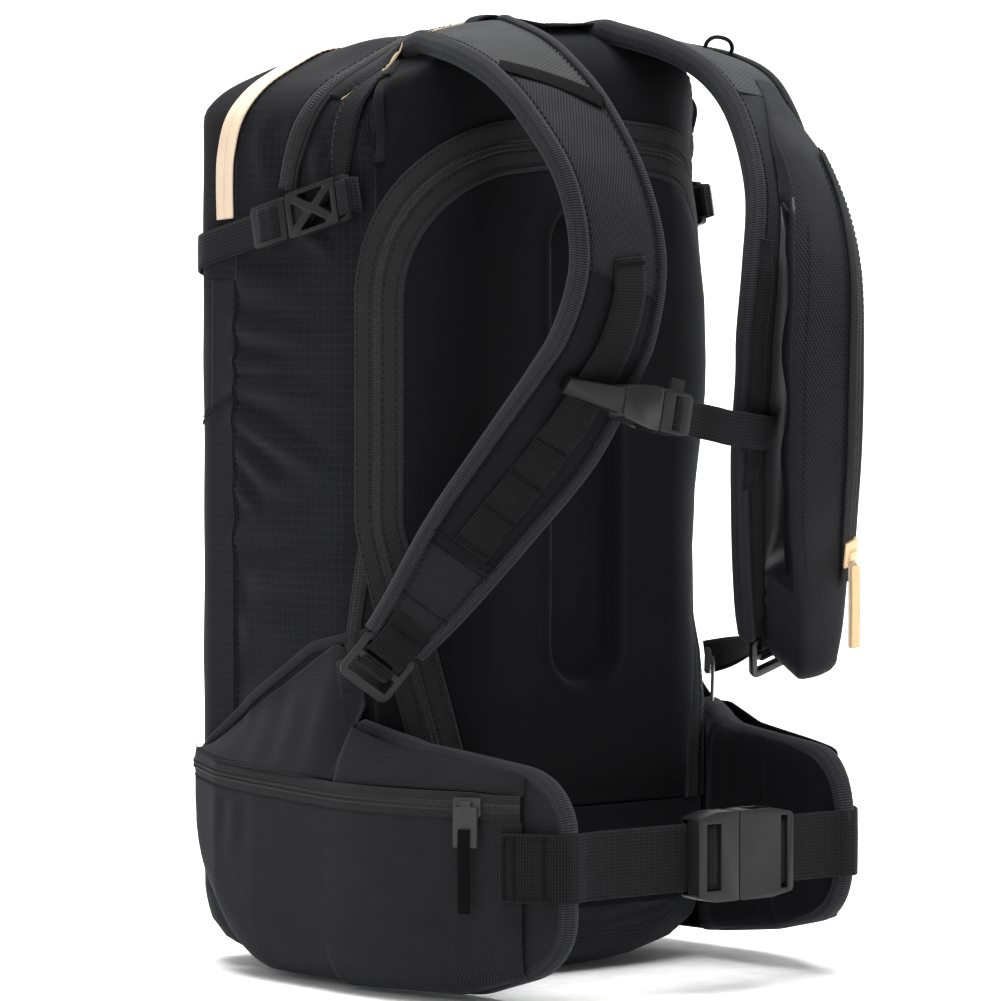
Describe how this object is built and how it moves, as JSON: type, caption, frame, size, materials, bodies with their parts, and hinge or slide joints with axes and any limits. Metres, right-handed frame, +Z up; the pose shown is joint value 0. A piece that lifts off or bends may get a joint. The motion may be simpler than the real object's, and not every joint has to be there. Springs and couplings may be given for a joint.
{
  "type": "ski touring backpack",
  "caption": "Panelled ski touring backpack with a zipped back door, two contoured shoulder straps, a sternum strap, a padded hip belt and side compression straps.",
  "frame": {"origin": "middle of the flat base, at floor level", "axes": "+Z up, +X towards the wearer's left, -Y towards the wearer (the harness side); the wearer faces -Y"},
  "size_m": [0.3316, 0.3473, 0.5492],
  "materials": {
    "shell": "matt ripstop nylon",
    "ballistic": "matt coarse plain-weave nylon",
    "foam_cover": "smooth stretch fabric over foam",
    "webbing": "woven polyester webbing",
    "zip": "coated zip tape",
    "light_trim": "off-white zip tape and pulls",
    "plastic": "moulded acetal, satin",
    "sheet": "extruded polyethylene sheet",
    "stay": "bare, brushed"
  },
  "bodies": {
    "root": {"base_panel": "ballistic", "front_panel": "ballistic", "right_side_panel": "shell", "left_side_panel": "shell", "top_panel": "shell", "yoke_panel": "foam_cover", "lumbar_panel": "foam_cover", "divider_panel": "shell", "back_zip_outer_tape": "zip", "tool_zip_tape": "light_trim", "top_zip_tape": "zip", "top_flap": "shell", "right_side_band": "webbing", "left_side_band": "webbing", "right_shoulder_strap": "ballistic", "left_shoulder_strap": "ballistic", "tube_sleeve": "ballistic", "right_sternum_rail": "webbing", "left_sternum_rail": "webbing", "tube_keeper": "webbing", "right_adjuster_webbing": "webbing", "left_adjuster_webbing": "webbing", "right_hip_root": "shell", "left_hip_root": "shell", "right_compression_anchor": "webbing", "left_compression_anchor": "webbing", "right_compression_female_buckle": "plastic", "left_compression_female_buckle": "plastic", "right_compression_strap": "webbing", "left_compression_strap": "webbing"},
    "back_door": {"back_pad": "foam_cover", "frame_sheet": "sheet", "right_frame_stay": "stay", "left_frame_stay": "stay", "back_zip_inner_tape": "zip"},
    "right_wing": {"right_hip_pad": "foam_cover", "right_hip_pocket": "shell", "right_hip_zip_tape": "zip", "right_belt_webbing": "webbing"},
    "left_wing": {"left_hip_pad": "foam_cover", "left_hip_pocket": "shell", "left_hip_zip_tape": "zip", "left_belt_webbing": "webbing", "belt_female_buckle": "plastic"},
    "right_hip_slider": {"right_hip_zip_slider": "plastic"},
    "left_hip_slider": {"left_hip_zip_slider": "plastic"},
    "belt_male": {"belt_male_buckle": "plastic"},
    "sternum_strap": {"sternum_female_buckle": "plastic", "sternum_webbing": "webbing"},
    "sternum_male": {"sternum_male_buckle": "plastic"},
    "right_compression_male": {"right_compression_male_buckle": "plastic"},
    "left_compression_male": {"left_compression_male_buckle": "plastic"},
    "right_lock": {"right_ladder_lock": "plastic"},
    "left_lock": {"left_ladder_lock": "plastic"},
    "haul": {"haul_loop": "webbing"},
    "tool_slider": {"tool_zip_slider": "plastic"},
    "top_slider": {"top_zip_slider": "plastic"},
    "back_slider": {"back_zip_slider": "plastic"},
    "sleeve_slider": {"sleeve_zip_slider": "light_trim"},
    "sleeve_pull": {"sleeve_zip_pull": "light_trim"}
  },
  "joints": [
    {"name": "back_door_hinge", "type": "hinge", "parent": "root", "child": "back_door", "pos_m": [0, -0.102, 0.0955], "axis": [1, 0, 0], "range_deg": [0, 11]},
    {"name": "right_wing_hinge", "type": "hinge", "parent": "root", "child": "right_wing", "pos_m": [-0.156, -0.0665, 0.08], "axis": [0, 0, -1], "range_deg": [0, 30], "stiffness_Nm_per_rad": 3},
    {"name": "left_wing_hinge", "type": "hinge", "parent": "root", "child": "left_wing", "pos_m": [0.156, -0.0665, 0.08], "axis": [0, 0, 1], "range_deg": [0, 30], "stiffness_Nm_per_rad": 3},
    {"name": "right_hip_zip_run", "type": "hinge", "parent": "right_wing", "child": "right_hip_slider", "pos_m": [0.027, -0.085, 0.11], "axis": [0, 0, -1], "range_deg": [0, 24]},
    {"name": "left_hip_zip_run", "type": "hinge", "parent": "left_wing", "child": "left_hip_slider", "pos_m": [-0.027, -0.085, 0.11], "axis": [0, 0, 1], "range_deg": [0, 24]},
    {"name": "belt_male_slide", "type": "slide", "parent": "right_wing", "child": "belt_male", "axis": [-1, 0, 0], "range_m": [0, 0.038]},
    {"name": "sternum_slide", "type": "slide", "parent": "root", "child": "sternum_strap", "axis": [0, -0.468, 0.8837], "range_m": [-0.004, 0.004]},
    {"name": "sternum_male_slide", "type": "slide", "parent": "sternum_strap", "child": "sternum_male", "axis": [0.9807, 0, -0.1957], "range_m": [0, 0.022]},
    {"name": "right_compression_slide", "type": "slide", "parent": "root", "child": "right_compression_male", "axis": [0, 0.9787, -0.2055], "range_m": [0, 0.022]},
    {"name": "left_compression_slide", "type": "slide", "parent": "root", "child": "left_compression_male", "axis": [0, 0.9787, -0.2055], "range_m": [0, 0.022]},
    {"name": "right_lock_tilt", "type": "hinge", "parent": "root", "child": "right_lock", "pos_m": [-0.13678, -0.09997, 0.19212], "axis": [-0.7373, 0.3038, 0.6034], "range_deg": [0, 20]},
    {"name": "left_lock_tilt", "type": "hinge", "parent": "root", "child": "left_lock", "pos_m": [0.14455, -0.10878, 0.18968], "axis": [-0.9045, 0.2173, -0.3669], "range_deg": [0, 20]},
    {"name": "haul_loop_tilt", "type": "hinge", "parent": "root", "child": "haul", "pos_m": [0, -0.0695, 0.5405], "axis": [1, 0, 0], "range_deg": [-15, 15]},
    {"name": "tool_zip_slide", "type": "slide", "parent": "root", "child": "tool_slider", "axis": [0, 0, 1], "range_m": [0, 0.015]},
    {"name": "top_zip_slide", "type": "slide", "parent": "root", "child": "top_slider", "axis": [0, -0.4229, 0.9062], "range_m": [0, 0.008]},
    {"name": "back_zip_slide", "type": "slide", "parent": "back_door", "child": "back_slider", "axis": [0.188, 0.1641, 0.9684], "range_m": [0, 0.012]},
    {"name": "sleeve_zip_slide", "type": "slide", "parent": "root", "child": "sleeve_slider", "axis": [-0.4246, -0.5638, 0.7085], "range_m": [0, 0.02]},
    {"name": "sleeve_pull_swing", "type": "hinge", "parent": "sleeve_slider", "child": "sleeve_pull", "pos_m": [0.12919, -0.19157, 0.23543], "axis": [0, -1, 0], "range_deg": [0, 38]}
  ],
  "couplings": [
    {"joint": "left_wing_hinge", "follows": "right_wing_hinge", "ratio": 1}
  ]
}
